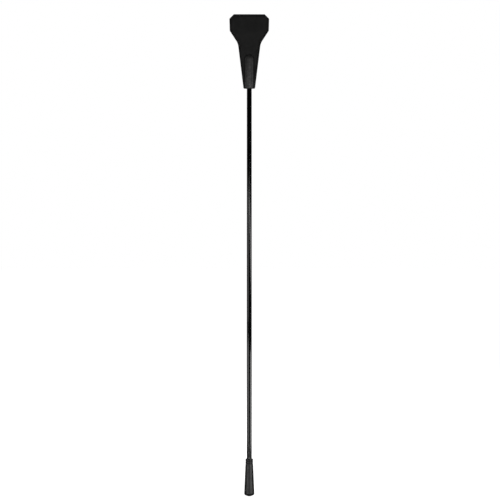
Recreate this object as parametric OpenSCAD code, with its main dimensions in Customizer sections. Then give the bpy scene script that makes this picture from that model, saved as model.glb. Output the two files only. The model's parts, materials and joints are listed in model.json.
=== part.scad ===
// Riding crop: a jacketed fibreglass rod with a flared grip at the butt and a
// two-ply stitched leather popper at the tip.
// +Z runs along the rod from butt to popper, the popper's faces look along -Y
// and +Y, and the origin is the centre of the flat on the butt cap.

/* [Overall] */
// Length from the flat of the butt cap to the top edge of the popper
crop_len = 660; // [560:5:760]

/* [Shaft] */
// Diameter of the solid fibreglass core
core_d = 6; // [5:0.5:6.5]
// Wall of the glossy jacket over the core
jacket_t = 0.4; // [0.3:0.1:0.6]
// Height of the rod's tip above the mouth of the popper
tip_depth = 43.4; // [36:0.2:46]
// Length of the thread whipping on the bare core, under the leather
whipping_len = 22; // [10:1:24]
// Width of one turn of the whipping thread
whipping_pitch = 0.8; // [0.6:0.1:1.2]

/* [Popper] */
// Length from the mouth of the sleeve to the top edge
popper_len = 102; // [96:1:120]
// Width across the top of the paddle
popper_w = 54.4; // [48:0.2:64]
// Width across the shoulders, where the paddle starts to narrow
shoulder_w = 53.4; // [44:0.2:60]
// Width of the sleeve where it meets the shoulders
neck_w = 31; // [26:0.5:36]
// Width across the mouth of the sleeve
mouth_w = 15.7; // [15.4:0.1:18]
// Size of the cut corners at the top edge
corner_cut = 6.1; // [3:0.1:10]
// Radius of the curve between sleeve and shoulder
neck_round = 20; // [8:1:24]
// Thickness of one ply of leather
ply_t = 1.4; // [1:0.1:1.8]
// How far the leather above the rod bends each way, in degrees
bend_limit = 60; // [20:5:70]

/* [Stitching] */
// Thickness of the sewing thread
thread_d = 0.7; // [0.4:0.1:0.9]
// Distance from one stitch to the next
stitch_pitch = 3.2; // [2.6:0.1:4]
// Distance of the outer seam from the edge of the leather
seam_inset = 2.2; // [1.8:0.1:2.6]

/* [Grip] */
// Height of the whole grip, collar and butt cap included
grip_len = 51; // [44:1:90]
// Largest diameter, where the butt cap meets the grip
butt_d = 13.8; // [12.4:0.2:18]
// Diameter of the grip where it meets the collar
grip_top_d = 10.3; // [9.4:0.1:11]
// Height of the collar's beaded part
collar_h = 6.6; // [5:0.2:9]
// Height of the rounded end of the butt cap
dome_h = 3.3; // [2.8:0.1:4]

/* [Hidden] */

$fn = 96;
fit = 0.03;          // radial room between glued or pressed pieces
far = 200;           // larger than any piece is wide

// Shaft
core_r = core_d / 2;
shaft_r = core_r + jacket_t;
bore_r = shaft_r + fit;
popper_z = crop_len - popper_len;
tip_z = popper_z + tip_depth - shaft_r;          // centre of the rounded tip
cap_wall = 0.5;
cap_skirt = 8;
core_top = tip_z + cap_wall;
cap_bottom = tip_z - cap_skirt;
whipping_top = cap_bottom - cap_wall;
whipping_bottom = whipping_top - whipping_len;

// Popper
ridge_r = bore_r + ply_t;
neck_share = 0.61;                               // of the popper's length, up to the neck
shoulder_share = 0.777;                          // of the popper's length, up to the shoulders
neck_z = popper_z + neck_share * popper_len;
shoulder_z = popper_z + shoulder_share * popper_len;
mouth_round = 1.6;
shoulder_round = 2.5;
corner_round = 0.9;
arc_points = 7;                                  // on each rounded corner of the outline
bend_rise = 11.6;                                // of the bending line above the rod's tip
flex_z = popper_z + tip_depth + bend_rise;
bend_gap = 0.1;                                  // of each half from that line, at mid thickness

// Each corner of the right half is [x, z, radius], from the mouth up to the top edge.
right_corners = [
    [mouth_w / 2, popper_z, mouth_round],
    [neck_w / 2, neck_z, neck_round],
    [shoulder_w / 2, shoulder_z, shoulder_round],
    [popper_w / 2, crop_len - corner_cut, corner_round],
    [popper_w / 2 - corner_cut, crop_len, corner_round]
];
left_corners = [for (i = [len(right_corners) - 1:-1:0]) mirrored(right_corners[i])];
corners = concat(right_corners, left_corners);

// Seams
stitch_share = 0.76;                             // of the pitch that one stitch covers
stitch_len = stitch_share * stitch_pitch;
channel_seam_r = ridge_r + 1.6;
channel_seam_z = popper_z + 1.2;                 // lower end of the seam, just above the mouth
seam_merge_gap = 1.4;                            // least distance between the two seams
stitch_clear = 1.3 + stitch_len / 2;             // of a stitch's middle from the bending line

// Grip
butt_r = butt_d / 2;
grip_top_r = grip_top_d / 2;
collar_z = grip_len - collar_h;
shaft_bottom = 11.5;
skirt_h = 6;
skirt_wall = 0.6;
skirt_r = bore_r + skirt_wall;
bead_drop = 0.4;                                 // depth of the groove between the collar's beads
butt_flat_r = 2.2;
butt_corner_r = 2.2;
crown_slope = 22.5;                              // of the butt's shallow crown, in degrees
flare_curve = 0.1;                               // share of the flare that is not a straight cone
barb_depth = 0.35;
barb_peak = 0.3;                                 // where a barb is widest, as a share of its height

function mirrored(c) = [-c[0], c[1], c[2]];
function unit(v) = v / norm(v);
function left_of(v) = [-v[1], v[0]];
function xz(c) = [c[0], c[1]];

// The points of a closed outline whose corners are rounded to their own radius.
function rounded(list) = [
    for (i = [0:len(list) - 1]) let (
        here = xz(list[i]),
        before = unit(xz(list[(i + len(list) - 1) % len(list)]) - here),
        after = unit(xz(list[(i + 1) % len(list)]) - here),
        half_angle = acos(before * after) / 2,
        radius = list[i][2],
        centre = here + unit(before + after) * radius / sin(half_angle),
        first = here + before * radius / tan(half_angle) - centre,
        last = here + after * radius / tan(half_angle) - centre,
        turn = atan2(first[0] * last[1] - first[1] * last[0], first * last)
    ) for (k = [0:arc_points - 1]) let (a = turn * k / (arc_points - 1))
        centre + [first[0] * cos(a) - first[1] * sin(a), first[0] * sin(a) + first[1] * cos(a)]
];

// The same corners moved inwards by a distance, on an outline that runs anticlockwise.
function inset(list, distance) = [
    for (i = [0:len(list) - 1]) let (
        here = xz(list[i]),
        n_in = left_of(unit(here - xz(list[(i + len(list) - 1) % len(list)]))),
        n_out = left_of(unit(xz(list[(i + 1) % len(list)]) - here)),
        moved = here + (n_in + n_out) * distance / (1 + n_in * n_out)
    ) [moved[0], moved[1], list[i][2] == neck_round ? neck_round + distance : corner_round]
];

// [point, direction in degrees] at a distance along an open path, counted from its start.
function along(path, s, i = 0) = let (step = path[i + 1] - path[i], size = norm(step))
    s <= size || i == len(path) - 2
        ? [path[i] + step * (s / size), atan2(step[1], step[0])]
        : along(path, s - size, i + 1);
function path_length(path, i = 0) =
    i == len(path) - 1 ? 0 : norm(path[i + 1] - path[i]) + path_length(path, i + 1);

// Stitches that fill a path from end to end, each [point, direction].
function filled(path) = let (total = path_length(path), count = round(total / stitch_pitch)) [
    for (k = [0:count - 1]) along(path, (k + 0.5) * total / count)
];

// The same for a path that starts on the axis, in the middle of its first stitch.
function filled_from_axis(path) = let (
    total = path_length(path), count = round(total / stitch_pitch - 0.5)
) [for (k = [0:count]) along(path, k * total / (count + 0.5))];

// The line of the outer seam. Its neck is an arc, and its other corners are sharp.
seam_corners = inset(corners, seam_inset);
seam_outline = rounded(seam_corners);
neck_arc = [for (i = [2 * arc_points - 1:-1:arc_points]) seam_outline[i]];

// Its right half, from the middle of the top edge down to the mouth. A stitch ends at each corner.
seam_runs = [
    [xz(seam_corners[4]), xz(seam_corners[3])],
    [xz(seam_corners[3]), xz(seam_corners[2])],
    concat([xz(seam_corners[2])], neck_arc, [xz(seam_corners[0])])
];
outer_stitches = concat(
    filled_from_axis([[0, crop_len - seam_inset], xz(seam_corners[4])]),
    [for (run = seam_runs) each filled(run)]
);

// The right half of the channel seam, from above the rod's tip down to the mouth.
channel_stitches = filled_from_axis(concat(
    [for (a = [90:-7.5:0]) [0, tip_z] + channel_seam_r * [cos(a), sin(a)]],
    [[channel_seam_r, channel_seam_z]]
));

// Radius of the grip at a height: a flare that eases off towards the butt.
function grip_r(z) = let (t = (z - dome_h) / (collar_z - dome_h))
    butt_r - (butt_r - grip_top_r) * ((1 - flare_curve) * t + flare_curve * t * t);

module rod(r, z0, z1) translate([0, 0, z0]) cylinder(r = r, h = z1 - z0);

// A shape drawn in X and Z, given a thickness from y = -thickness to y = 0.
module standing(thickness) rotate([90, 0, 0]) linear_extrude(thickness) children();

// A shape drawn in Y and Z, swept across X.
module across() rotate([90, 0, 90]) linear_extrude(far, center = true) children();

module shaft_core() color("ivory") {
    chamfer = 0.4;
    rod(core_r, shaft_bottom + chamfer, core_top - chamfer);
    translate([0, 0, shaft_bottom]) cylinder(r1 = core_r - chamfer, r2 = core_r, h = chamfer);
    translate([0, 0, core_top - chamfer]) cylinder(r1 = core_r, r2 = core_r - chamfer, h = chamfer);
}

module shaft_jacket() color("black") difference() {
    rod(shaft_r, shaft_bottom, whipping_bottom);
    rod(core_r + fit, 0, crop_len);
}

// Waxed thread wound edge to edge on the bare core, so that the glue has something to hold.
module tip_whipping() color("dimgray") {
    valley_r = shaft_r - jacket_t / 2;
    turns = floor(whipping_len / whipping_pitch);
    wound = [
        for (k = [0:turns - 1], a = [0:45:135])
            [valley_r + jacket_t / 2 * sin(a), whipping_bottom + whipping_pitch * (k + (1 - cos(a)) / 2)]
    ];
    top = whipping_bottom + turns * whipping_pitch;
    rotate_extrude() polygon(concat(
        [[core_r + fit, whipping_bottom]], wound, [[valley_r, top], [core_r + fit, top]]
    ));
}

// Moulded cap that keeps the hard end of the core from cutting the leather.
module tip_cap() color("black") difference() {
    union() {
        rod(shaft_r, cap_bottom, tip_z);
        translate([0, 0, tip_z]) sphere(r = shaft_r);
    }
    rod(core_r + fit, cap_bottom - 1, core_top + fit);
}

// The round space that the rod fills, from below the mouth to its rounded tip.
module channel(r) {
    rod(r, popper_z, tip_z);
    translate([0, 0, tip_z]) sphere(r = r);
}

// The whole front ply: a flat plate with a ridge where it passes over the rod.
module ply() difference() {
    union() {
        standing(ply_t) polygon(rounded(corners));
        intersection() {
            channel(ridge_r);
            translate([-far / 2, -far, 0]) cube([far, far, crop_len]);
        }
    }
    channel(bore_r);
    rod(bore_r, popper_z - 1, popper_z + 1);
}

// Everything on one side of the bending line, bevelled so that the halves clear each other at the limit.
module below_bend() {
    rise = far * tan(bend_limit / 2);
    across() polygon([
        [far, -far], [far, flex_z - bend_gap - rise], [0, flex_z - bend_gap],
        [-far, flex_z - bend_gap - rise], [-far, -far]
    ]);
}
module above_bend() translate([0, 0, 2 * flex_z]) mirror([0, 0, 1]) below_bend();

module popper_sleeve() intersection() {
    ply();
    below_bend();
}
module popper_blade() intersection() {
    standing(ply_t) polygon(rounded(corners));
    above_bend();
}
module popper_sleeve_front() color("#1e1e1e") popper_sleeve();
module popper_sleeve_back() color("#1e1e1e") mirror([0, 1, 0]) popper_sleeve();
module popper_blade_front() color("#1e1e1e") popper_blade();
module popper_blade_back() color("#1e1e1e") mirror([0, 1, 0]) popper_blade();

// One stitch: a half-round length of thread along X, flat on y = 0 and bulging towards -Y.
module stitch() rotate([0, 90, 0]) linear_extrude(stitch_len, center = true)
    polygon([for (a = [180:30:360]) thread_d / 2 * [cos(a), sin(a)]]);

// Stitches on both halves of both faces of the popper. One on the axis belongs to both halves.
module sewn(list) color("black")
    for (side = [0, 1], face = [0, 1]) mirror([side, 0, 0]) mirror([0, face, 0])
        for (s = list) if (side == 0 || s[0][0] > fit)
            translate([s[0][0], -ply_t, s[0][1]]) rotate([0, -s[1], 0]) stitch();

module channel_stitching() sewn(channel_stitches);
module sleeve_edge_stitching() sewn([
    for (s = outer_stitches)
        if (s[0][1] < flex_z - stitch_clear && s[0][0] > channel_seam_r + seam_merge_gap) s
]);
module blade_edge_stitching() sewn([
    for (s = outer_stitches) if (s[0][1] > flex_z + stitch_clear) s
]);

module grip() color("#3a3a3a") difference() {
    rotate_extrude() polygon(concat(
        [[0, dome_h]],
        [for (i = [0:12]) let (z = dome_h + (collar_z - dome_h) * i / 12) [grip_r(z), z]],
        [[0, collar_z]]
    ));
    rod(bore_r, 0, grip_len);
    rod(skirt_r + fit, collar_z - skirt_h, grip_len);
}

// Half a bead of the collar's outside, from its lower edge to its upper edge.
function bead(z0, h) = [
    for (a = [-90:15:90]) [grip_top_r - bead_drop * (1 - cos(a)), z0 + h / 2 * (1 + sin(a))]
];

// Ring that finishes the top of the grip, with a skirt let into the rubber.
module grip_collar() color("#2c2c2c") difference() {
    rotate_extrude() polygon(concat(
        [[0, collar_z - skirt_h + fit], [skirt_r, collar_z - skirt_h + fit], [skirt_r, collar_z]],
        bead(collar_z, collar_h / 2),
        bead(collar_z + collar_h / 2, collar_h / 2),
        [[0, grip_len]]
    ));
    rod(bore_r, 0, grip_len + 1);
}

// Domed plug: a flange over the end of the grip and a barbed spigot pressed into its bore.
module butt_cap() color("#2c2c2c") {
    spigot_r = bore_r - fit;
    spigot_top = shaft_bottom - cap_wall;
    barbs = 3;
    barb_h = (spigot_top - dome_h) / barbs;
    rotate_extrude() polygon(concat(
        [[0, 0], [butt_flat_r, 0]],
        [for (a = [crown_slope:7.5:90]) [
            butt_r + butt_corner_r * (sin(a) - 1), dome_h - butt_corner_r * cos(a)
        ]],
        [for (k = [0:barbs - 1]) for (p = [[barb_depth, 0], [0, barb_peak], [barb_depth, 1]])
            [spigot_r - p[0], dome_h + (k + p[1]) * barb_h]],
        [[0, spigot_top]]
    ));
}

shaft_core();
shaft_jacket();
tip_whipping();
tip_cap();
popper_sleeve_front();
popper_sleeve_back();
popper_blade_front();
popper_blade_back();
channel_stitching();
sleeve_edge_stitching();
blade_edge_stitching();
grip();
grip_collar();
butt_cap();
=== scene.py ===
"""The looks of the riding crop, built around its CAD frame: leather popper, seams, rod and grip."""

import json
import math

import bpy
import numpy as np
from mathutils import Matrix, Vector, noise


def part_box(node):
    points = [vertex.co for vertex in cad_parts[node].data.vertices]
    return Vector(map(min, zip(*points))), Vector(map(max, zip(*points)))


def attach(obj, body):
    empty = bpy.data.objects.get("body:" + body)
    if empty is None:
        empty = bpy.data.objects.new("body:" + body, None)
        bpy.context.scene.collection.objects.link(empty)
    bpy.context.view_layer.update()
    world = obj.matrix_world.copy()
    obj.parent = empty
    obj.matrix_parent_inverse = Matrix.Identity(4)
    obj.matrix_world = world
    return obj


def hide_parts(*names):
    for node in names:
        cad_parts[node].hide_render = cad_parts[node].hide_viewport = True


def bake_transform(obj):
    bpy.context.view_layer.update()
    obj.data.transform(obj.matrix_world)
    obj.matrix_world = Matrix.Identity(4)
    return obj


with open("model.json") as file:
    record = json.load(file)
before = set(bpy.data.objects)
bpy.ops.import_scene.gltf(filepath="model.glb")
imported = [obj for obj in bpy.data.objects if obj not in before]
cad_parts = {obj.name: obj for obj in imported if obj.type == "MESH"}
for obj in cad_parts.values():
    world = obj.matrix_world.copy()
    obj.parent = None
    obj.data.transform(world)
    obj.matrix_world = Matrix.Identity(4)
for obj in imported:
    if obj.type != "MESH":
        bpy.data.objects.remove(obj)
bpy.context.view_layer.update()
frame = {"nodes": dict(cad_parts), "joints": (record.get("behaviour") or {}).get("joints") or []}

MM = 0.001

# ---- Sizes that the frame gives, in metres ----

SLEEVE_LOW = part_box("popper_sleeve_front")[0]
BLADE_LOW, BLADE_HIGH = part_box("popper_blade_front")
MOUTH_Z = SLEEVE_LOW.z
TOP_Z = BLADE_HIGH.z
PLY = -BLADE_LOW.y
RIDGE_R = -SLEEVE_LOW.y
SHAFT_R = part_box("shaft_jacket")[1].x
TIP_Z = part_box("tip_cap")[1].z - SHAFT_R
HINGE = Vector(frame["joints"][0]["pos_m"])

# ---- Sizes of the popper that the frame's boxes do not give ----

# Right half of the outline, from the mouth up: half width, height over the mouth, corner radius.
CORNERS = [
    (7.85 * MM, 0.0, 1.6 * MM),
    (15.5 * MM, 62.2 * MM, 20 * MM),
    (26.7 * MM, 79.3 * MM, 2.5 * MM),
    (27.2 * MM, 95.9 * MM, 0.9 * MM),
    (21.1 * MM, 102 * MM, 0.9 * MM),
]
EDGE_ROUND = 0.6 * MM  # radius of the painted edge
CHANNEL_R = SHAFT_R + 0.04 * MM  # of the space that the rod fills
CHANNEL_FILLET = 0.5 * MM  # where the plies meet beside the rod
PLY_BOND = 0.006 * MM  # how far each ply is pressed past the plane between them, where they are glued
RIDGE_FILLET = 2.6 * MM  # where the ridge runs out into the flat leather
DOME_STRETCH = 1.12  # how much longer than a sphere the ridge's end is
SEAM_INSET = 2.2 * MM  # of the edge seam from the leather's edge
CHANNEL_SEAM_R = RIDGE_R + 1.6 * MM  # of the channel seam from the rod's axis
CHANNEL_SEAM_LOW = MOUTH_Z + 1.2 * MM
SEAM_MERGE = 1.4 * MM  # the edge seam ends this far from the channel seam
STITCH_PITCH = 3.2 * MM
THREAD_R = 0.35 * MM

# ---- Relief of the leather ----

HOLLOW_DEPTH, HOLLOW_WIDTH = 0.10 * MM, 1.5 * MM  # pulled into the leather by a seam
DENT_DEPTH, DENT_WIDTH = 0.14 * MM, 0.42 * MM  # right under the thread
HOLE_DEPTH, HOLE_WIDTH = 0.30 * MM, 0.40 * MM  # at each end of a stitch
CREASE_INSET, CREASE_DEPTH, CREASE_WIDTH = 1.05 * MM, 0.05 * MM, 0.2 * MM  # the line creased along the edge
SURFACE_SINK = 0.05 * MM  # of the uneven surface under the CAD's, on average
LEAST_RADIUS = 0.8 * MM  # of a corner in a line inset from the edge
NO_SEAM = 9 * MM  # added to the distance from the edge seam where it has ended
WAVE_DEPTH, WAVE_WIDTH = 0.045 * MM, 14 * MM  # the leather's unevenness
RIPPLE_DEPTH, RIPPLE_WIDTH = 0.02 * MM, 5 * MM
FOLD_DEPTH, FOLD_SIZE, FOLD_REACH = 0.035 * MM, (16 * MM, 2.4 * MM), 9 * MM  # faint, where it bends
LEAN_BACK, LEAN_CUP, LEAN_TWIST = 0.7 * MM, 0.45 * MM, 0.25 * MM  # all but reached at the popper's top
FLESH_INSET = 0.2 * MM  # of the flesh side from the edge, which leaves a fine line between the plies

# Steps of the popper's mesh, from its edge inwards
EDGE_BAND = 3.2 * MM
EDGE_STEPS = np.array(
    [0, 0.06, 0.14, 0.26, 0.42, 0.6, 0.85, 1.15, 1.45, 1.7, 1.95, 2.2, 2.45, 2.7, 2.95]
) * MM
RIDGE_BAND = 6.8 * MM
RIDGE_COLUMNS = 24
MIDDLE_COLUMNS = 28
ROW_STEP = 0.42 * MM
# Rings round the edge of a ply, from the grain side inwards: share of its thickness, bulge in mm
EDGE_RINGS = ((0.75, 0.05), (0.45, 0.06), (0.2, 0.0), (0.07, -0.09))

PARTING_OFFSETS = (-1.6, -0.9, -0.4, 0.4, 0.9, 1.6)  # degrees: finer mesh beside a mould's parting line


# ---- Shapes ----


def unit(v):
    """The same direction with length 1."""
    return v / np.linalg.norm(v)


def rounded(points, steps):
    """An open path through points (a, b, radius), as an array of (a, b). Its inner corners are rounded
    to their radius, in a number of steps each."""
    path = [np.array(points[0][:2])]
    for before, here, after in zip(points, points[1:], points[2:]):
        corner, radius = np.array(here[:2]), here[2]
        back = unit(np.array(before[:2]) - corner)
        on = unit(np.array(after[:2]) - corner)
        half_angle = math.acos(np.clip(back @ on, -1, 1)) / 2
        centre = corner + unit(back + on) * radius / math.sin(half_angle)
        first = corner + back * radius / math.tan(half_angle) - centre
        last = corner + on * radius / math.tan(half_angle) - centre
        turn = math.atan2(first[0] * last[1] - first[1] * last[0], first @ last)
        for k in range(steps + 1):
            c, s = math.cos(turn * k / steps), math.sin(turn * k / steps)
            path.append(centre + np.array([first[0] * c - first[1] * s, first[0] * s + first[1] * c]))
    path.append(np.array(points[-1][:2]))
    return np.array(path)


def divided(path, step):
    """The same path with points added, so that none are further apart than step."""
    made = [path[0]]
    for a, b in zip(path, path[1:]):
        count = max(1, math.ceil(np.linalg.norm(b - a) / step))
        made += [a + (b - a) * k / count for k in range(1, count + 1)]
    return np.array(made)


def smoothstep(x, low, high):
    """0 up to low, 1 from high, and a smooth rise between them."""
    t = np.clip((x - low) / (high - low), 0, 1)
    return t * t * (3 - 2 * t)


def bell(x, width):
    """1 where x is 0, falling off smoothly on both sides."""
    return np.exp(-((x / width) ** 2))


def cloud(x, z, size, seed):
    """Smooth noise from -1 to 1 over a surface. size is the width of its patches: one number, or one
    each way."""
    wide, high = size if isinstance(size, tuple) else (size, size)
    layer = seed * 7.31
    flat = [
        noise.noise(Vector((a / wide, b / high, layer)))
        for a, b in zip(np.ravel(x), np.ravel(z))
    ]
    return np.reshape(flat, np.shape(x))


def mesh_object(name, points, faces, material, sharp_deg=40.0):
    """A smooth-shaded mesh, sharp only at edges that turn by more than sharp_deg. It keeps where its points
    are at rest, for the textures."""
    mesh = bpy.data.meshes.new(name)
    mesh.from_pydata([tuple(p) for p in points], [], faces)
    mesh.update()
    mesh.shade_smooth()
    mesh.set_sharp_from_angle(angle=math.radians(sharp_deg))
    mesh.materials.append(material)
    rest = mesh.attributes.new("rest", "FLOAT_VECTOR", "POINT")
    rest.data.foreach_set("vector", np.array(points, np.float32).ravel())
    made = bpy.data.objects.new(name, mesh)
    bpy.context.scene.collection.objects.link(made)
    return made


def paint(piece, name, values):
    """Keeps one number for each vertex, for the piece's material to read."""
    attribute = piece.data.attributes.new(name, "FLOAT", "POINT")
    attribute.data.foreach_set("value", np.array(values, np.float32))


def lathe(name, profile, material, segments=96, lines=(), shape=None):
    """A solid of revolution round Z. profile is a closed outline of (radius, height), anticlockwise.
    lines are angles in degrees with a mould's parting line, where the mesh is finer.
    shape(r, z, angle) gives the final radius."""
    angles = {round(360 * k / segments, 4) for k in range(segments)}
    for line in lines:
        angles |= {round((line + offset) % 360, 4) for offset in PARTING_OFFSETS}
    angles = np.radians(sorted(angles))
    points, rings = [], []
    for r, z in profile:
        first = len(points)
        if r < 1e-9:  # on the axis, where the whole ring is one point
            points.append((0.0, 0.0, z))
            rings.append([first] * len(angles))
            continue
        for a in angles:
            radius = shape(r, z, a) if shape else r
            points.append((radius * math.cos(a), radius * math.sin(a), z))
        rings.append(list(range(first, len(points))))
    faces = []
    for low, high in zip(rings, rings[1:] + rings[:1]):
        for k in range(len(angles)):
            corners = (low[k], low[k - 1], high[k - 1], high[k])
            face = list(dict.fromkeys(corners))
            if len(face) > 2:
                faces.append(face)
    return mesh_object(name, points, faces, material)


# ---- Popper ----


def inset_corners(inset):
    """Corners (x, z, radius) of the right half of a line inset from the outline, from the middle of the
    mouth to the middle of the top."""
    corners = [np.array([x, MOUTH_Z + z]) for x, z, _ in CORNERS]
    mirrored = [corners[0] * [-1, 1], *corners, corners[-1] * [-1, 1]]
    path = [(0.0, MOUTH_Z + inset, 0)]
    for (_, _, radius), before, here, after in zip(CORNERS, mirrored, mirrored[1:], mirrored[2:]):
        arriving, leaving = unit(here - before), unit(after - here)
        n_in = np.array([-arriving[1], arriving[0]])
        n_out = np.array([-leaving[1], leaving[0]])
        moved = here + (n_in + n_out) * inset / (1 + n_in @ n_out)
        concave = arriving[0] * leaving[1] - arriving[1] * leaving[0] < 0
        path.append((*moved, radius + inset if concave else max(radius - inset, LEAST_RADIUS)))
    path.append((0.0, TOP_Z - inset, 0))
    return path


OUTLINE = rounded(inset_corners(0.0), steps=10)


def edge_distance(x, z):
    """How far points inside the popper are from its edge."""
    points = np.stack([np.abs(x), z], axis=-1)[..., None, :]
    starts, ends = OUTLINE[:-1], OUTLINE[1:]
    run = ends - starts
    share = np.clip(((points - starts) * run).sum(-1) / (run**2).sum(-1), 0, 1)
    nearest = starts + share[..., None] * run
    return np.linalg.norm(points - nearest, axis=-1).min(-1)


def along(path, first, pitch, count):
    """Places along a path, each (x, z, direction). first is the distance of the first one from the path's
    start, and the others are a pitch apart."""
    steps = np.linalg.norm(np.diff(path, axis=0), axis=1)
    reach = np.concatenate([[0], np.cumsum(steps)])
    places = []
    for k in range(count):
        s = first + k * pitch
        i = min(np.searchsorted(reach, s, side="right") - 1, len(steps) - 1)
        a, b = path[i], path[i + 1]
        x, z = a + (b - a) * (s - reach[i]) / steps[i]
        places.append((x, z, math.atan2(b[1] - a[1], b[0] - a[0])))
    return places


def path_length(path):
    """Length of a path of straight runs."""
    return np.linalg.norm(np.diff(path, axis=0), axis=1).sum()


def filled(path):
    """Stitches that fill a path from end to end."""
    total = path_length(path)
    count = round(total / STITCH_PITCH)
    return along(path, total / count / 2, total / count, count)


def filled_from_axis(path):
    """Stitches that fill a path which starts on the axis, in the middle of the first of them."""
    total = path_length(path)
    count = round(total / STITCH_PITCH - 0.5)
    return along(path, 0.0, total / (count + 0.5), count + 1)


def channel_distance(x, z):
    """Distance from the rod's axis in the plane of the popper, and above the rod from the centre of its
    rounded end."""
    above = np.maximum(0, z - TIP_Z) / DOME_STRETCH
    return np.hypot(x, above)


def edge_seam():
    """Stitches of the right half of the edge seam, from the middle of the top down to where it meets the
    channel seam."""
    mouth, neck, shoulder, low, high = [np.array(c[:2]) for c in inset_corners(SEAM_INSET)[1:-1]]
    neck_radius = CORNERS[1][2] + SEAM_INSET
    lower = rounded([(*shoulder, 0), (*neck, neck_radius), (*mouth, 0)], steps=6)
    seam = filled_from_axis(np.array([(0.0, TOP_Z - SEAM_INSET), high]))
    for run in (np.array([high, low]), np.array([low, shoulder]), lower):
        seam += filled(run)
    return [s for s in seam if s[0] > CHANNEL_SEAM_R + SEAM_MERGE or s[1] > HINGE.z]


def channel_seam():
    """Stitches of the right half of the channel seam, from above the rod's tip down to the mouth."""
    turn = np.radians(np.linspace(90, 0, 13))
    rise = TIP_Z + DOME_STRETCH * CHANNEL_SEAM_R * np.sin(turn)
    arc = np.stack([CHANNEL_SEAM_R * np.cos(turn), rise], axis=-1)
    return filled_from_axis(np.vstack([arc, [CHANNEL_SEAM_R, CHANNEL_SEAM_LOW]]))


EDGE_SEAM = edge_seam()
CHANNEL_SEAM = channel_seam()


def stitch_holes():
    """Both ends of every stitch on the right half. Every stitch counts as STITCH_PITCH long, although those
    of a seam are spaced a little closer or wider, to fill it."""
    reach = STITCH_PITCH / 2
    holes = set()
    for x, z, direction in EDGE_SEAM + CHANNEL_SEAM:
        for way in (-1, 1):
            hole = (x + way * reach * math.cos(direction), z + way * reach * math.sin(direction))
            holes.add((round(hole[0], 5), round(hole[1], 5)))
    return np.array(sorted(holes))


def seam_lines(x, z, d):
    """Distance from the nearer seam. d is the distance from the edge."""
    edge_seam_end = min(s[1] for s in EDGE_SEAM)
    from_channel = np.abs(channel_distance(x, z) - CHANNEL_SEAM_R)
    ended = 1 - smoothstep(z, edge_seam_end - MM, edge_seam_end)
    from_edge = np.abs(d - SEAM_INSET) + NO_SEAM * ended
    return np.minimum(from_channel, from_edge)


def hump(rho, radius, base, fillet):
    """Height of a half-round ridge over a flat base, at distance rho from its axis, with a fillet at its
    foot."""
    foot = math.sqrt((radius + fillet) ** 2 - (base + fillet) ** 2)
    joint = foot * radius / (radius + fillet)
    top = np.sqrt(np.maximum(radius**2 - rho**2, 0))
    side = base + fillet - np.sqrt(np.maximum(fillet**2 - (foot - rho) ** 2, 0))
    return np.where(rho < joint, top, np.where(rho < foot, side, base))


def hole_distance(x, z):
    """Distance from the nearest end of a stitch, on either half."""
    squared = np.full(np.shape(x), 1.0)
    for hole_x, hole_z in stitch_holes():
        squared = np.minimum(squared, (np.abs(x) - hole_x) ** 2 + (z - hole_z) ** 2)
    return np.sqrt(squared)


def outer_height(x, z, d, seed):
    """Height of the grain side over the plane between the plies. d is the distance from the edge."""
    height = hump(channel_distance(x, z), RIDGE_R, PLY, RIDGE_FILLET)
    inside = np.maximum(EDGE_ROUND - d, 0)
    height = height - (EDGE_ROUND - np.sqrt(np.maximum(EDGE_ROUND**2 - inside**2, 0)))
    seam = seam_lines(x, z, d)
    height = height - HOLLOW_DEPTH * bell(seam, HOLLOW_WIDTH) - DENT_DEPTH * bell(seam, DENT_WIDTH)
    height = height - HOLE_DEPTH * bell(hole_distance(x, z), HOLE_WIDTH)
    height = height - CREASE_DEPTH * bell(d - CREASE_INSET, CREASE_WIDTH)
    waves = WAVE_DEPTH * cloud(x, z, WAVE_WIDTH, seed)
    ripples = RIPPLE_DEPTH * cloud(x, z, RIPPLE_WIDTH, seed + 1)
    folds = FOLD_DEPTH * cloud(x, z, FOLD_SIZE, seed + 2) * bell(z - HINGE.z, FOLD_REACH)
    off_edge = smoothstep(d, 0.2 * MM, 2 * MM)
    return height + (waves + ripples + folds) * off_edge - SURFACE_SINK


def inner_height(x, z):
    """Height of the flesh side over the plane between the plies: flat, with a channel for the rod."""
    return hump(np.hypot(x, np.maximum(0, z - TIP_Z)), CHANNEL_R, -PLY_BOND, CHANNEL_FILLET)


def lean(x, z):
    """How far the two plies together lie behind the plane of the rod: the leather is never quite flat."""
    up = np.maximum(0, z - TIP_Z - RIDGE_R) / (TOP_Z - TIP_Z)
    across = x / BLADE_HIGH.x
    return LEAN_BACK * up**2 + LEAN_CUP * up * across**2 + LEAN_TWIST * up * across


def popper_columns(half_width):
    """Places across half of the popper: fine over the ridge and in the band along the edge, which are both
    narrower where the popper is narrow."""
    edge_share, ridge_share = 0.3, 0.55
    edge = min(EDGE_BAND, edge_share * half_width)
    ridge = min(RIDGE_BAND, ridge_share * half_width)
    middle = np.linspace(ridge, half_width - edge, MIDDLE_COLUMNS)[1:]
    side = half_width - edge * EDGE_STEPS[::-1] / EDGE_BAND
    return np.concatenate([np.linspace(0, ridge, RIDGE_COLUMNS), middle, side])


def popper_grid():
    """The mesh's places in X and Z, as two arrays of rows and columns."""
    between = np.arange(MOUTH_Z + EDGE_STEPS[-1], TOP_Z - EDGE_STEPS[-1], ROW_STEP)
    rows = np.concatenate([MOUTH_Z + EDGE_STEPS[:-1], between, TOP_Z - EDGE_STEPS[::-1]])
    side = OUTLINE[1:-1]
    half_widths = np.interp(rows, side[:, 1], side[:, 0])
    right = np.array([popper_columns(w) for w in half_widths])
    x = np.hstack([-right[:, :0:-1], right])
    return x, np.repeat(rows[:, None], x.shape[1], axis=1)


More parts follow.
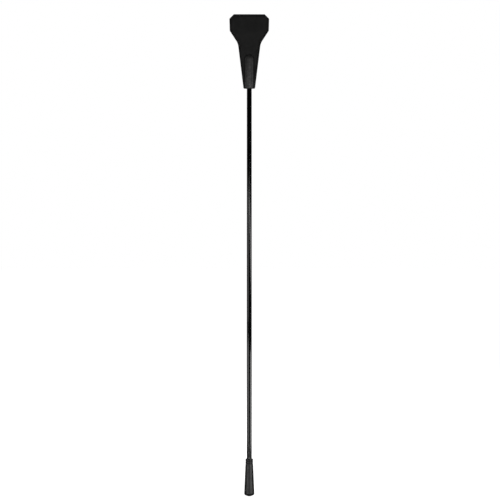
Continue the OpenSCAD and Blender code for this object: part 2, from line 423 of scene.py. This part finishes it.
def rim_of(rows, columns):
    """Row and column of each point round a grid, anticlockwise as seen from the front."""
    bottom = [(0, j) for j in range(columns)]
    right = [(i, columns - 1) for i in range(1, rows)]
    top = [(rows - 1, j) for j in range(columns - 2, -1, -1)]
    left = [(i, 0) for i in range(rows - 2, 0, -1)]
    return bottom + right + top + left


def grid_faces(first, rows, columns, flip):
    """Faces of a grid of points. first is the number of its first point."""
    faces = []
    for i in range(rows - 1):
        for j in range(columns - 1):
            a = first + i * columns + j
            face = (a, a + 1, a + columns + 1, a + columns)
            faces.append(face[::-1] if flip else face)
    return faces


def placed(x, z, height, side):
    """Points of a ply at a height over the plane between the plies. side is -1 in front and 1 behind."""
    return np.stack([x, lean(x, z) + side * height, z], axis=-1).reshape(-1, 3)


def drawn_in(x, z):
    """The mesh's places, drawn in by FLESH_INSET for the flesh side."""
    middle_z = (MOUTH_Z + TOP_Z) / 2
    inner_x = x * (1 - FLESH_INSET / np.abs(x).max(axis=1, keepdims=True))
    inner_z = middle_z + (z - middle_z) * (1 - 2 * FLESH_INSET / (TOP_Z - MOUTH_Z))
    return inner_x, inner_z


def edge_points(x, z, outer, inner, rim, side):
    """The rings of points round the edge of a ply, from the grain side to the flesh side."""
    i, j = np.array(rim).T
    ring = np.stack([x[i, j], z[i, j]], axis=-1)
    tangent = np.roll(ring, -1, axis=0) - np.roll(ring, 1, axis=0)
    tangent /= np.linalg.norm(tangent, axis=1, keepdims=True)
    outward = np.stack([tangent[:, 1], -tangent[:, 0]], axis=-1)
    rings = []
    for share, bulge in EDGE_RINGS:
        at = ring + outward * bulge * MM
        height = inner[i, j] + (outer[i, j] - inner[i, j]) * share
        rings.append(placed(at[:, 0], at[:, 1], height, side))
    return rings


def ply_faces(rows, columns, rim, flip):
    """Faces of a ply: its grain side, its flesh side, and the bands of its edge between them."""
    grid_size, ring_size = rows * columns, len(rim)
    inner_first = grid_size + len(EDGE_RINGS) * ring_size
    faces = grid_faces(0, rows, columns, flip)
    faces += grid_faces(inner_first, rows, columns, not flip)
    loops = [[a * columns + b for a, b in rim]]
    for k in range(len(EDGE_RINGS)):
        loops.append(list(range(grid_size + k * ring_size, grid_size + (k + 1) * ring_size)))
    loops.append([inner_first + a * columns + b for a, b in rim])
    for upper, lower in zip(loops, loops[1:]):
        for k in range(ring_size):
            face = (upper[k - 1], lower[k - 1], lower[k], upper[k])
            faces.append(face[::-1] if flip else face)
    return faces


def paint_ply(ply, x, z, d):
    """Marks for the material where a ply has its painted edge, its seams with painted shade, and its worn
    ridge with a painted highlight.
    """
    paint_full, paint_end = 0.35 * MM, 0.95 * MM  # distances from the edge between which it thins out
    seam_shade_width = 0.9 * MM
    ridge_mark_full, ridge_mark_end = 0.92 * RIDGE_R, 1.32 * RIDGE_R  # distances from the rod's axis
    tip_fade = 0.45  # how much weaker the ridge's wear and painted highlight are over the rod's tip than at the mouth
    grid_size, size = x.size, len(ply.data.vertices)
    edge = np.ones(size)
    edge[:grid_size] = 1 - smoothstep(d, paint_full, paint_end).ravel()
    edge[-grid_size:] = 0
    paint(ply, "edge", edge)
    # The seam mark carries painted shade along the seams, in the hollows they pull into the leather.
    seam = np.zeros(size)
    seam[:grid_size] = bell(seam_lines(x, z, d), seam_shade_width).ravel()
    paint(ply, "seam", seam)
    # The ridge mark is for wear and a painted highlight, both stronger towards the mouth.
    rubbed_and_lit = np.zeros(size)
    worn_and_lit_towards_mouth = 1 - tip_fade * smoothstep(z, MOUTH_Z, TIP_Z)
    on_ridge = 1 - smoothstep(channel_distance(x, z), ridge_mark_full, ridge_mark_end)
    rubbed_and_lit[:grid_size] = (on_ridge * worn_and_lit_towards_mouth).ravel()
    paint(ply, "rubbed_and_lit", rubbed_and_lit)


def popper_ply(name, side, seed, material):
    """One ply of leather as a closed solid. side is -1 for the front ply and 1 for the back one."""
    x, z = popper_grid()
    d = edge_distance(x, z)
    outer = outer_height(x, z, d, seed)
    inner_x, inner_z = drawn_in(x, z)
    least_thickness = 0.5 * MM
    inner = np.minimum(inner_height(inner_x, inner_z), outer - least_thickness)
    rim = rim_of(*x.shape)
    points = np.vstack([
        placed(x, z, outer, side),
        *edge_points(x, z, outer, inner, rim, side),
        placed(inner_x, inner_z, inner, side),
    ])
    ply = mesh_object(name, points, ply_faces(*x.shape, rim, side > 0), material, sharp_deg=70)
    paint_ply(ply, x, z, d)
    return ply


# ---- Stitches ----


def stitch(x, z, direction, side, slant):
    """Points and faces of one stitch: a twisted thread that lies on the leather and dips into it at both
    ends."""
    sides, rings, strands = 12, 13, 3
    reach = STITCH_PITCH / 2
    filled_share = 0.97  # of the pitch
    sink = 0.1 * MM  # of the leather under the thread
    crest, dip = 0.55, 1.75  # in thread radii: height of the thread's middle, and fall at its ends
    twist = 9  # phase of the strands at an end, in radians
    heading = direction + slant
    way = np.array([math.cos(heading), math.sin(heading)])
    across = np.array([-way[1], way[0]])
    points = []
    for k in range(rings):
        u = 2 * k / (rings - 1) - 1
        height = PLY - sink + THREAD_R * (crest - dip * abs(u) ** 5)
        centre = np.array([x, z]) + way * reach * u * filled_share
        for n in range(sides):
            a = 2 * math.pi * n / sides
            r = THREAD_R * (0.9 + 0.1 * math.cos(strands * a - twist * u))
            at = centre + across * r * math.cos(a)
            points.append((at[0], lean(at[0], at[1]) + side * (height + r * math.sin(a)), at[1]))
    faces = [tuple(range(sides))[::-1], tuple(range((rings - 1) * sides, rings * sides))]
    for k in range(rings - 1):
        for n in range(sides):
            m = (n + 1) % sides
            faces.append((k * sides + n, k * sides + m, (k + 1) * sides + m, (k + 1) * sides + n))
    if side < 0:
        faces = [f[::-1] for f in faces]
    return points, faces


def stitches(name, seam, material):
    """Every stitch of a seam, on both halves and both faces of the popper, as one mesh."""
    slant = math.radians(5)
    points, faces = [], []
    for side in (-1, 1):
        for half in (-1, 1):
            for x, z, direction in seam:
                if half < 0 and x < THREAD_R:
                    continue  # the stitch on the axis belongs to both halves
                turned = direction if half > 0 else math.pi - direction
                new_points, new_faces = stitch(half * x, z, turned, side, slant * half * side)
                faces += [tuple(len(points) + v for v in f) for f in new_faces]
                points += new_points
    return mesh_object(name, points, faces, material)


# ---- Rod and grip ----

FIT = 0.03 * MM  # gap round a piece that another is pushed over


def shaft_jacket(material):
    """The glossy tube over the core, with the faint unevenness of a drawn plastic skin."""
    low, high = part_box("shaft_jacket")
    core_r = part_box("shaft_core")[1].x
    bore_r = core_r + FIT
    row_step = 2.5 * MM
    ripple, ripple_length = 0.012 * MM, 22 * MM
    outside = divided(np.array([(SHAFT_R, low.z), (SHAFT_R, high.z)]), row_step)
    profile = [*outside, (bore_r, high.z), (bore_r, low.z)]

    def uneven(r, z, angle):
        if r < SHAFT_R - 0.1 * MM:
            return r
        place = Vector((math.cos(angle), math.sin(angle), z / ripple_length))
        return r - ripple * (1 + noise.noise(place))

    return lathe("shaft_skin", profile, material, segments=64, shape=uneven)


def grip_radius(z, low_z, high_z, low_r, high_r):
    """Radius of the grip at a height: a flare that eases off towards the butt."""
    curve = 0.1
    t = (z - low_z) / (high_z - low_z)
    return low_r - (low_r - high_r) * ((1 - curve) * t + curve * t * t)


def parting_line(height, width_deg=0.55):
    """A shape for lathe(): a fine raised line on the left and right, where the mould's halves met."""

    def shape(r, z, angle):
        return r + height * math.exp(-((math.degrees(math.asin(math.sin(angle))) / width_deg) ** 2))

    return shape


def grip(material):
    """Flared rubber grip with softened ends and the mould's parting line."""
    low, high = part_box("grip")
    collar_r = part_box("grip_collar")[1].x
    flange_z = low.z
    end_round = 0.4 * MM
    turn = np.linspace(0, 1, 9) ** 2 * end_round  # places from an end, closest together beside it
    between = np.linspace(flange_z + MM, high.z - MM, 42)
    rise = np.concatenate([flange_z + turn, between, high.z - turn[::-1]])
    outside = []
    for z in rise:
        from_end = min(z - flange_z, high.z - z)
        cut = max(0.0, end_round - from_end)
        r = grip_radius(z, flange_z, high.z, high.x, collar_r)
        outside.append((r - end_round + math.sqrt(max(end_round**2 - cut**2, 0)), z))
    bore_r = SHAFT_R + FIT
    recess_r = bore_r + 0.65 * MM  # takes the collar's skirt
    recess_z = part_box("grip_collar")[0].z
    inside = [(recess_r, high.z), (recess_r, recess_z), (bore_r, recess_z), (bore_r, flange_z)]
    profile = outside + inside
    return lathe("rubber_grip", profile, material, lines=(0, 180), shape=parting_line(0.05 * MM))


def collar(material):
    """Ring at the top of the grip: two soft beads with a groove between them, and a skirt let into the
    rubber."""
    low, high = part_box("grip_collar")
    base_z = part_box("grip")[1].z
    bore_r = SHAFT_R + 0.02 * MM
    skirt_r = bore_r + 0.6 * MM
    drop = 0.4 * MM  # of the groove and of both ends under the beads
    lip_width, lip_depth = 0.35 * MM, 0.3 * MM  # of the bevel round the rod
    bead_h = (high.z - base_z) / 2
    outside = []
    for k in range(2):
        for a in np.radians(np.linspace(-90, 90, 17)):
            z = base_z + bead_h * (k + (1 + math.sin(a)) / 2)
            outside.append((high.x - drop * (1 - math.cos(a)), z))
    lip = [(bore_r + lip_width, high.z), (bore_r, high.z - lip_depth)]
    skirt = [(bore_r, low.z), (skirt_r, low.z), (skirt_r, base_z)]
    profile = skirt + outside + lip
    return lathe("collar_ring", profile, material, lines=(0, 180), shape=parting_line(0.02 * MM))


def butt_cap(material):
    """Rounded plug with a small moulding mark on its flat, and its barbed spigot inside the grip."""
    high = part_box("butt_cap")[1]
    flange_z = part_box("grip")[0].z
    flat_r = 2.2 * MM
    corner_r = 2.2 * MM
    corner_from, corner_to = 22.5, 86  # degrees from straight down
    mark_r, mark_depth, mark_slope = 0.9 * MM, 0.25 * MM, 0.25 * MM
    lip_depth, lip_width = 0.06 * MM, 0.12 * MM  # of the mark
    draft, bevel_width, bevel_height = 0.02 * MM, 0.2 * MM, 0.12 * MM  # where the cap meets the grip
    spigot_r = SHAFT_R
    barbs, barb_depth = 3, 0.35 * MM
    barb_shape = ((1, 0.02), (0, 0.3), (1, 0.98))  # shares of its depth and of its height
    mark = [(0, mark_depth), (mark_r - mark_slope, mark_depth), (mark_r, lip_depth)]
    base = [*mark, (mark_r + lip_width, 0), (flat_r, 0)]
    corner = [
        (high.x - corner_r * (1 - math.sin(a)), flange_z - corner_r * math.cos(a))
        for a in np.radians(np.linspace(corner_from, corner_to, 20))
    ]
    edge = [(high.x - draft, flange_z - bevel_height), (high.x - bevel_width, flange_z)]
    barb_h = (high.z - flange_z) / barbs
    spigot = [
        (spigot_r - depth * barb_depth, flange_z + (k + share) * barb_h)
        for k in range(barbs)
        for depth, share in barb_shape
    ]
    crown = divided(np.array([base[-1], corner[0]]), step=0.4 * MM)[1:-1]
    profile = [*base, *crown, *corner, *edge, *spigot, (0, high.z)]
    return lathe("domed_cap", profile, material)


# ---- Materials ----


def node(tree, kind, inputs=(), **settings):
    """Adds a shader node. inputs are (socket, value or another node's output) pairs."""
    made = tree.nodes.new(kind)
    for key, value in settings.items():
        setattr(made, key, value)
    for socket, value in inputs:
        if isinstance(value, bpy.types.NodeSocket):
            tree.links.new(value, made.inputs[socket])
        else:
            made.inputs[socket].default_value = value
    return made


def new_material(name, **values):
    """A material with one Principled shader, and values set on that shader's own sockets."""
    material = bpy.data.materials.new(name)
    material.use_nodes = True
    tree = material.node_tree
    shader = tree.nodes["Principled BSDF"]
    for socket, value in values.items():
        shader.inputs[socket.replace("_", " ")].default_value = value
    return material, tree, shader


def place_mm(tree, stretch=(1, 1, 1)):
    """Places on the piece at rest, in millimetres, stretched along each axis."""
    rest = node(tree, "ShaderNodeAttribute", attribute_name="rest")
    scale = [1000 * s for s in stretch]
    inputs = [(0, rest.outputs["Vector"]), (1, scale)]
    return node(tree, "ShaderNodeVectorMath", inputs, operation="MULTIPLY").outputs[0]


def noise_of(tree, place, scale, detail=3.0, rough=0.55):
    """Fractal noise of about 0 to 1, finer with a larger scale."""
    inputs = [("Vector", place), ("Scale", scale), ("Detail", detail), ("Roughness", rough)]
    return node(tree, "ShaderNodeTexNoise", inputs).outputs["Fac"]


def math_of(tree, operation, a, b=0.0, c=0.0):
    """One arithmetic step on numbers or outputs."""
    return node(tree, "ShaderNodeMath", [(0, a), (1, b), (2, c)], operation=operation).outputs[0]


def remap(tree, value, low, high, to_low=0.0, to_high=1.0):
    """Maps the range from low to high smoothly onto another, and holds what lies outside at its ends."""
    inputs = [("Value", value), ("From Min", low), ("From Max", high)]
    inputs += [("To Min", to_low), ("To Max", to_high)]
    return node(tree, "ShaderNodeMapRange", inputs, interpolation_type="SMOOTHSTEP").outputs["Result"]


def mix_colours(tree, share, a, b):
    """Mixes two colours. The Mix node has several sockets named A, B and Result, so they go by number."""
    return node(tree, "ShaderNodeMix", [(0, share), (6, a), (7, b)], data_type="RGBA").outputs[2]


def cell_edges(tree, place, scale):
    """Distance from the edges of a pattern of cells, finer with a larger scale."""
    inputs = [("Vector", place), ("Scale", scale)]
    return node(tree, "ShaderNodeTexVoronoi", inputs, feature="DISTANCE_TO_EDGE").outputs["Distance"]


def painted_on(tree, name):
    """The numbers that paint() has kept under a name."""
    return node(tree, "ShaderNodeAttribute", attribute_name=name).outputs["Fac"]


def bump(tree, shader, height, strength, depth_mm):
    """Gives the shader a relief."""
    inputs = [("Height", height), ("Strength", strength), ("Distance", depth_mm * MM)]
    made = node(tree, "ShaderNodeBump", inputs)
    tree.links.new(made.outputs["Normal"], shader.inputs["Normal"])


def grey(value, tint=0.0):
    """A neutral colour, a little warm or cool by tint."""
    return (value * (1 + tint), value, value * (1 - tint), 1)


def leather_grain(tree, place):
    """The grain's height, from 0 to 1: pebbles in two sizes, bent out of their even pattern, and pores."""
    drift = node(tree, "ShaderNodeTexNoise", [("Vector", place), ("Scale", 0.9), ("Detail", 2.0)])
    centred = [(0, drift.outputs["Color"]), (1, (0.5, 0.5, 0.5))]
    shift = node(tree, "ShaderNodeVectorMath", centred, operation="SUBTRACT").outputs[0]
    shifted = [(0, shift), (1, (0.7, 0.7, 0.7)), (2, place)]
    bent = node(tree, "ShaderNodeVectorMath", shifted, operation="MULTIPLY_ADD").outputs[0]
    pebbles = remap(tree, cell_edges(tree, bent, 1.15), 0.0, 0.28)
    fine = remap(tree, cell_edges(tree, bent, 2.6), 0.0, 0.22)
    pores = noise_of(tree, place, 7.0, detail=4.0)
    grain = math_of(tree, "MULTIPLY_ADD", pebbles, 0.62, math_of(tree, "MULTIPLY", fine, 0.24))
    return math_of(tree, "MULTIPLY_ADD", pores, 0.14, grain)


def leather_colour(tree, place, grain, cloudy, edge, seam, rubbed_and_lit):
    """Black with painted shade in the grain's valleys and along the seams, a painted highlight in pale
    patches on the worn ridge, and a painted edge that is worn paler here and there."""
    # Painted shade: the grain's valleys are coloured darker than its tops.
    valley_shaded_grain = mix_colours(tree, grain, grey(0.0052), grey(0.0118, 0.02))
    clouded = mix_colours(tree, remap(tree, cloudy, 0.35, 0.7), valley_shaded_grain, grey(0.0148, 0.03))
    # Painted highlight on the worn ridge, in pale patches.
    highlight_patches = remap(tree, noise_of(tree, place, 0.4, detail=4.0), 0.36, 0.64)
    pale = mix_colours(tree, highlight_patches, grey(0.09), grey(0.235, 0.02))
    # On the ridge the grain's valleys get painted shade as well, and its tops the pale painted highlight.
    stretched = mix_colours(tree, grain, grey(0.055), pale)
    # The ridge mark lays the painted highlight over the worn ridge.
    ridge_lit = mix_colours(tree, rubbed_and_lit, clouded, stretched)
    # Painted shade along the seams, in the hollows that they pull into the leather.
    seam_shaded = mix_colours(tree, math_of(tree, "MULTIPLY", seam, 0.7), ridge_lit, grey(0.0035))
    painted = mix_colours(tree, edge, seam_shaded, grey(0.0035))
    rub_patches = remap(tree, noise_of(tree, place, 0.55, detail=5.0), 0.56, 0.72)
    rub = math_of(tree, "MULTIPLY", edge, rub_patches)
    return mix_colours(tree, math_of(tree, "MULTIPLY", rub, 0.5), painted, grey(0.045, 0.08))


def leather_material():
    """Matt black leather: pebbled grain with painted shade in its valleys, pores, painted edges worn paler
    in places, painted shade along the seams, and a worn ridge with a painted highlight.
    """
    material, tree, shader = new_material("black_leather", Specular_IOR_Level=0.42)
    place = place_mm(tree)
    edge, seam, rubbed_and_lit = [painted_on(tree, name) for name in ("edge", "seam", "rubbed_and_lit")]
    grain = leather_grain(tree, place)
    cloudy = noise_of(tree, place, 0.08, detail=4.0)
    flattened = math_of(tree, "MULTIPLY", grain, remap(tree, edge, 0.0, 0.8, to_low=1.0, to_high=0.15))
    bump(tree, shader, flattened, strength=0.75, depth_mm=0.07)
    colour = leather_colour(tree, place, grain, cloudy, edge, seam, rubbed_and_lit)
    tree.links.new(colour, shader.inputs["Base Color"])

    matt = remap(tree, grain, 0.0, 1.0, to_low=0.62, to_high=0.42)
    patchy = math_of(tree, "MULTIPLY_ADD", cloudy, 0.12, math_of(tree, "SUBTRACT", matt, 0.06))
    roughness = math_of(tree, "MULTIPLY_ADD", edge, -0.1, patchy)
    tree.links.new(math_of(tree, "MULTIPLY_ADD", rubbed_and_lit, -0.08, roughness), shader.inputs["Roughness"])
    return material


def thread_material():
    """Black waxed thread, with fine fibres across its twist."""
    material, tree, shader = new_material("waxed_thread", Specular_IOR_Level=0.45)
    place = place_mm(tree)
    inputs = [("Vector", place), ("Scale", 3.1), ("Distortion", 3.0), ("Detail", 3.0)]
    wave = node(tree, "ShaderNodeTexWave", inputs, wave_type="BANDS", bands_direction="DIAGONAL")
    fibres = wave.outputs["Fac"]
    wax = noise_of(tree, place, 1.6, detail=4.0)
    bump(tree, shader, fibres, strength=0.5, depth_mm=0.03)
    tree.links.new(mix_colours(tree, fibres, grey(0.006), grey(0.017)), shader.inputs["Base Color"])
    roughness = remap(tree, wax, 0.3, 0.7, to_low=0.36, to_high=0.62)
    tree.links.new(roughness, shader.inputs["Roughness"])
    return material


def jacket_material():
    """Glossy black plastic with hair-fine lengthwise lines, faint smears and a few scuffs."""
    material, tree, shader = new_material("gloss_jacket", Specular_IOR_Level=0.5, IOR=1.5)
    place = place_mm(tree)
    drawn = noise_of(tree, place_mm(tree, (3.0, 3.0, 0.02)), 1.0, detail=5.0, rough=0.65)
    smears = noise_of(tree, place_mm(tree, (0.25, 0.25, 0.05)), 1.0, detail=4.0)
    specks = noise_of(tree, place, 5.0, detail=2.0)
    scuffs = math_of(tree, "MULTIPLY", remap(tree, specks, 0.68, 0.76), remap(tree, smears, 0.5, 0.62))
    height = math_of(tree, "MULTIPLY_ADD", specks, 0.25, drawn)
    bump(tree, shader, height, strength=0.05, depth_mm=0.02)
    tree.links.new(mix_colours(tree, scuffs, grey(0.0012), grey(0.02)), shader.inputs["Base Color"])
    clean = remap(tree, smears, 0.3, 0.75, to_low=0.05, to_high=0.12)
    tree.links.new(math_of(tree, "MULTIPLY_ADD", scuffs, 0.25, clean), shader.inputs["Roughness"])
    return material


def rubber_material(name, stipple):
    """Moulded rubber or plastic: a spark-eroded stipple, and patches of a little bloom that are rougher."""
    shade = 0.013
    material, tree, shader = new_material(name, Specular_IOR_Level=0.4)
    place = place_mm(tree)
    texture = noise_of(tree, place, 4.2, detail=3.0, rough=0.5)
    inputs = [("Vector", place), ("Scale", 3.0)]
    dimples = node(tree, "ShaderNodeTexVoronoi", inputs, feature="SMOOTH_F1").outputs["Distance"]
    bloom = noise_of(tree, place_mm(tree, (0.12, 0.12, 0.07)), 1.0, detail=5.0)
    height = math_of(tree, "MULTIPLY_ADD", dimples, 0.5, texture)
    bump(tree, shader, height, strength=stipple, depth_mm=0.06)
    base = mix_colours(tree, remap(tree, texture, 0.3, 0.7), grey(shade * 0.85), grey(shade * 1.1, 0.01))
    bloomed = remap(tree, bloom, 0.42, 0.75, to_high=0.5)
    clouded = mix_colours(tree, bloomed, base, grey(shade * 1.55))
    tree.links.new(clouded, shader.inputs["Base Color"])
    roughness = remap(tree, bloom, 0.3, 0.7, to_low=0.3, to_high=0.42)
    tree.links.new(roughness, shader.inputs["Roughness"])
    return material


def fibreglass_material():
    """Off-white pultruded fibreglass with its glass fibres running lengthwise."""
    material, tree, shader = new_material("fibreglass", Roughness=0.4)
    place = node(tree, "ShaderNodeTexCoord").outputs["Object"]
    stretched = [(0, place), (1, (9000, 9000, 60))]
    lengthwise = node(tree, "ShaderNodeVectorMath", stretched, operation="MULTIPLY").outputs[0]
    fibres = noise_of(tree, lengthwise, 1.0, detail=4.0)
    colour = mix_colours(tree, fibres, (0.34, 0.33, 0.24, 1), (0.62, 0.61, 0.48, 1))
    tree.links.new(colour, shader.inputs["Base Color"])
    bump(tree, shader, fibres, strength=0.2, depth_mm=0.03)
    return material


def hidden_material(name, shade, scale):
    """Plain mottled black for the small pieces inside the popper."""
    material, tree, shader = new_material(name, Specular_IOR_Level=0.4)
    place = node(tree, "ShaderNodeTexCoord").outputs["Object"]
    in_mm = node(tree, "ShaderNodeVectorMath", [(0, place), ("Scale", 1000.0)], operation="SCALE").outputs[0]
    mottle = noise_of(tree, in_mm, scale, detail=4.0)
    colour = mix_colours(tree, mottle, grey(shade * 0.6), grey(shade * 1.4))
    tree.links.new(colour, shader.inputs["Base Color"])
    roughness = remap(tree, mottle, 0.3, 0.7, to_low=0.4, to_high=0.65)
    tree.links.new(roughness, shader.inputs["Roughness"])
    bump(tree, shader, mottle, strength=0.4, depth_mm=0.04)
    return material


# ---- The object ----


def build_popper():
    """Both plies and the edge seam, which bend at the hinge, and the channel seam, which does not."""
    leather = leather_material()
    for name, side, seed in (("front", -1, 3), ("back", 1, 11)):
        ply = popper_ply("popper_" + name, side, seed, leather)
        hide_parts("popper_sleeve_" + name, "popper_blade_" + name)
        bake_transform(ply)
    thread = thread_material()
    edge = stitches("edge_stitches", EDGE_SEAM, thread)
    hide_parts("sleeve_edge_stitching", "blade_edge_stitching")
    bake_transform(edge)
    channel = stitches("channel_stitches", CHANNEL_SEAM, thread)
    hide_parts("channel_stitching")
    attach(channel, "crop")


def build_rod_and_grip():
    """The turned pieces, each in place of its CAD node."""
    rubber = rubber_material("grip_rubber", stipple=0.9)
    smooth_rubber = rubber_material("collar_rubber", stipple=0.35)
    nylon = rubber_material("cap_nylon", stipple=0.35)
    made = (
        (shaft_jacket(jacket_material()), "shaft_jacket", "jacket_gloss"),
        (grip(rubber), "grip", "grip_rubber"),
        (collar(smooth_rubber), "grip_collar", "moulded_rubber"),
        (butt_cap(nylon), "butt_cap", "cap_nylon"),
    )
    for piece, cad_node, slot in made:
        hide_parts(cad_node)
        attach(piece, "crop")


def finish_hidden_pieces():
    """Better materials for the CAD nodes that keep their shape."""
    finishes = {
        "shaft_core": fibreglass_material(),
        "tip_whipping": hidden_material("whipping_thread", shade=0.02, scale=5.0),
        "tip_cap": hidden_material("soft_vinyl", shade=0.03, scale=1.5),
    }
    for name, material in finishes.items():
        frame["nodes"][name].material_slots[0].material = material


# ---- Studio ----


def softbox(name, azimuth, low, high, distance, width, glow, tilt=0.0):
    """An upright area light, facing the rod. azimuth is in degrees from the camera's side, positive to the
    right. Its mirror image in the rod runs from height low to high as the camera sees it."""
    stretch = 1 + distance / CAMERA_DISTANCE
    heights = [EYE_Z + (z - EYE_Z) * stretch for z in (low, high)]
    lamp = bpy.data.lights.new(name, "AREA")
    lamp.shape = "RECTANGLE"
    lamp.size, lamp.size_y = width, heights[1] - heights[0]
    lamp.energy = glow * math.pi * lamp.size * lamp.size_y
    made = bpy.data.objects.new(name, lamp)
    a = math.radians(azimuth)
    made.location = (distance * math.sin(a), -distance * math.cos(a), sum(heights) / 2)
    made.rotation_euler = (math.radians(90), math.radians(tilt), a)
    made.visible_camera = False
    bpy.context.scene.collection.objects.link(made)


def overhead(name, place, target, size, power):
    """A square area light at a place, aimed at a target."""
    lamp = bpy.data.lights.new(name, "AREA")
    lamp.size = size
    lamp.energy = power
    made = bpy.data.objects.new(name, lamp)
    made.location = place
    made.rotation_mode = "QUATERNION"
    made.rotation_quaternion = (Vector(target) - Vector(place)).to_track_quat("-Z", "Y")
    made.visible_camera = False
    bpy.context.scene.collection.objects.link(made)


CAMERA_LENS = 135.0
CAMERA_SENSOR = 36.0
VIEW_WIDTH = 0.685  # across the picture, at the crop
CAMERA_DISTANCE = VIEW_WIDTH * CAMERA_LENS / CAMERA_SENSOR
EYE_X, EYE_Z = 1.0 * MM, 0.337


def camera():
    """A long lens straight in front of the crop, as high as the middle of the picture."""
    lens = bpy.data.cameras.new("camera")
    lens.lens = CAMERA_LENS
    lens.sensor_width = CAMERA_SENSOR
    made = bpy.data.objects.new("camera", lens)
    made.location = (EYE_X, -CAMERA_DISTANCE, EYE_Z)
    made.rotation_euler = (math.radians(90), 0, 0)
    bpy.context.scene.collection.objects.link(made)
    bpy.context.scene.camera = made


SURROUND_GLOW = 0.015  # of the background for everything but the camera, which sees it at 1


def white_surround():
    """A white background that lights the scene only dimly, so that the rod's edges stay black."""
    world = bpy.data.worlds.new("surround")
    bpy.context.scene.world = world
    world.use_nodes = True
    tree = world.node_tree
    background = tree.nodes["Background"]
    background.inputs["Color"].default_value = grey(1.0)
    seen = node(tree, "ShaderNodeLightPath").outputs["Is Camera Ray"]
    inputs = [("Factor", seen), ("A", SURROUND_GLOW), ("B", 1.0)]
    strength = node(tree, "ShaderNodeMix", inputs, data_type="FLOAT")
    tree.links.new(strength.outputs[0], background.inputs["Strength"])


def floor():
    """A pale floor under the butt that runs into the white background. It neither lights nor shades the
    crop."""
    size = 30.0
    corners = [(-size, -size, 0), (size, -size, 0), (size, size, 0), (-size, size, 0)]
    material, tree, shader = new_material("pale_floor", Roughness=0.9)
    place = node(tree, "ShaderNodeTexCoord").outputs["Object"]
    mottle = noise_of(tree, place, 30.0)
    tree.links.new(mix_colours(tree, mottle, grey(0.78), grey(0.82)), shader.inputs["Base Color"])
    shader.inputs["Emission Color"].default_value = grey(1.0)
    shader.inputs["Emission Strength"].default_value = 1.0
    made = mesh_object("floor", corners, [(0, 1, 2, 3)], material)
    made.visible_diffuse = False
    made.visible_glossy = False
    made.visible_shadow = False


def studio():
    """The lights. The numbers of a softbox are its azimuth, the low and high end of its image in the rod,
    its distance, its width and its glow."""
    softbox("left_high", -52, 0.240, 0.425, 1.2, 1.10, 1.4)
    softbox("left_low", -55, 0.066, 0.214, 1.2, 0.80, 3.7)
    softbox("centre_high", 6, 0.366, 0.434, 2.2, 0.40, 4.0)
    softbox("centre_spot", 4, 0.386, 0.402, 2.2, 0.26, 12.0)
    softbox("right_high", 54, 0.316, 0.376, 1.2, 1.20, 4.2, tilt=6)
    softbox("right_low", 59, 0.066, 0.198, 1.2, 0.60, 6.4)
    softbox("grip_left", -26, -0.060, 0.050, 1.2, 0.50, 6.0)
    softbox("grip_front", 4, -0.060, 0.050, 2.2, 0.80, 5.2)
    softbox("grip_right", 36, -0.060, 0.050, 1.2, 0.26, 18.5)
    softbox("back_left", -145, 0.080, 0.560, 1.4, 0.50, 1.0)
    softbox("back_right", 145, 0.080, 0.560, 1.4, 0.50, 0.8)
    overhead("top_fill", place=(0.2, 1.3, 1.9), target=(0, 0, 0.45), size=1.2, power=14)


build_popper()
build_rod_and_grip()
finish_hidden_pieces()
camera()
white_surround()
floor()
studio()
bpy.context.scene.view_settings.view_transform = "Standard"
